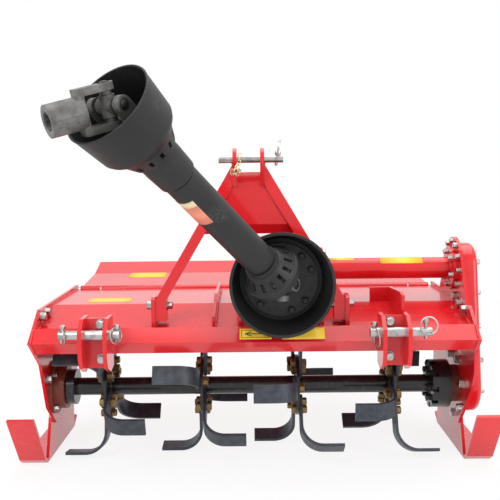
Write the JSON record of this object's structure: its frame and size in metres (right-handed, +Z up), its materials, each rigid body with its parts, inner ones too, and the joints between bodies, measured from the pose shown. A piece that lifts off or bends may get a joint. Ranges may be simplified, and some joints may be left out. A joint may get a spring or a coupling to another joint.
{
  "type": "rotary tiller",
  "caption": "Red three-point-hitch rotary tiller with an A-frame mast, tined rotor, side chain case, skids, raised rear board and a shielded jointed drive shaft",
  "frame": {"origin": "the middle of the machine's outline on the ground it stands on", "axes": "+Z up, +X to the chain case side (the right of the picture), +Y to the rear board; the hitch and the drive shaft point to -Y"},
  "size_m": [1.258, 1.3374, 0.9669],
  "materials": {
    "red_paint": "gloss",
    "zinc_steel": "satin",
    "grey_steel": "matte",
    "black_plastic": "satin",
    "cast_grey": "matte",
    "bearing_paint": "satin",
    "black_paint": "satin",
    "tine_steel": "satin"
  },
  "bodies": {
    "frame": {"front_beam": "red_paint", "deck": "red_paint", "deck_ribs": "red_paint", "side_plate_left": "red_paint", "side_plate_right": "red_paint", "skid_left": "red_paint", "skid_right": "red_paint", "hitch_bracket_left": "red_paint", "hitch_bracket_right": "red_paint", "deck_gusset": "red_paint", "mast_feet": "red_paint", "mast_leg_left": "red_paint", "mast_leg_right": "red_paint", "mast_panel": "red_paint", "top_clevis": "red_paint", "gearbox": "red_paint", "drive_tube": "red_paint", "chain_case": "red_paint", "deck_knuckles": "red_paint", "lower_pin_left": "zinc_steel", "lower_pin_right": "zinc_steel", "top_pin": "zinc_steel", "hinge_rod": "zinc_steel", "input_flange": "grey_steel", "pto_guard": "black_plastic", "pto_input_yoke": "cast_grey", "rotor_bearings": "bearing_paint"},
    "rotor": {"rotor_shaft": "black_paint", "rotor_hubs": "black_paint", "rotor_flanges": "black_paint", "tines_1": "tine_steel", "tines_2": "tine_steel", "tines_3": "tine_steel", "tines_4": "tine_steel"},
    "rear_board": {"trailing_board": "red_paint"},
    "rear_cross": {"pto_cross": "cast_grey"},
    "shaft_rear": {"pto_yoke": "cast_grey", "pto_cone": "black_plastic", "pto_tube": "black_plastic"},
    "shaft_front": {"pto_inner_tube": "black_plastic", "pto_bell_neck": "black_plastic", "pto_bell": "black_plastic", "pto_bell_yoke": "cast_grey"},
    "end_cross": {"pto_end_cross": "cast_grey"},
    "end_yoke": {"pto_end_yoke": "cast_grey"}
  },
  "joints": [
    {"name": "rotor_spin", "type": "hinge", "parent": "frame", "child": "rotor", "pos_m": [0, 0.06467, 0.19], "axis": [1, 0, 0], "continuous": true},
    {"name": "board_lift", "type": "hinge", "parent": "frame", "child": "rear_board", "pos_m": [0, 0.36267, 0.415], "axis": [-1, 0, 0], "range_deg": [0, 85]},
    {"name": "shaft_swing", "type": "hinge", "parent": "frame", "child": "rear_cross", "pos_m": [0.069, -0.16333, 0.503], "axis": [0, 0, 1], "range_deg": [0, 75]},
    {"name": "shaft_tilt", "type": "hinge", "parent": "rear_cross", "child": "shaft_rear", "pos_m": [0.069, -0.16333, 0.503], "axis": [0.7934, -0.6088, 0], "range_deg": [0, 72]},
    {"name": "shaft_slide", "type": "slide", "parent": "shaft_rear", "child": "shaft_front", "axis": [-0.4925, -0.6418, 0.5878], "range_m": [0, 0.15]},
    {"name": "end_tilt", "type": "hinge", "parent": "shaft_front", "child": "end_cross", "pos_m": [-0.25506, -0.58566, 0.88976], "axis": [-0.7934, 0.6088, 0], "range_deg": [0, 106]},
    {"name": "end_swing", "type": "hinge", "parent": "end_cross", "child": "end_yoke", "pos_m": [-0.25506, -0.58566, 0.88976], "axis": [-0.178, -0.232, 0.9563], "range_deg": [0, 42]}
  ]
}
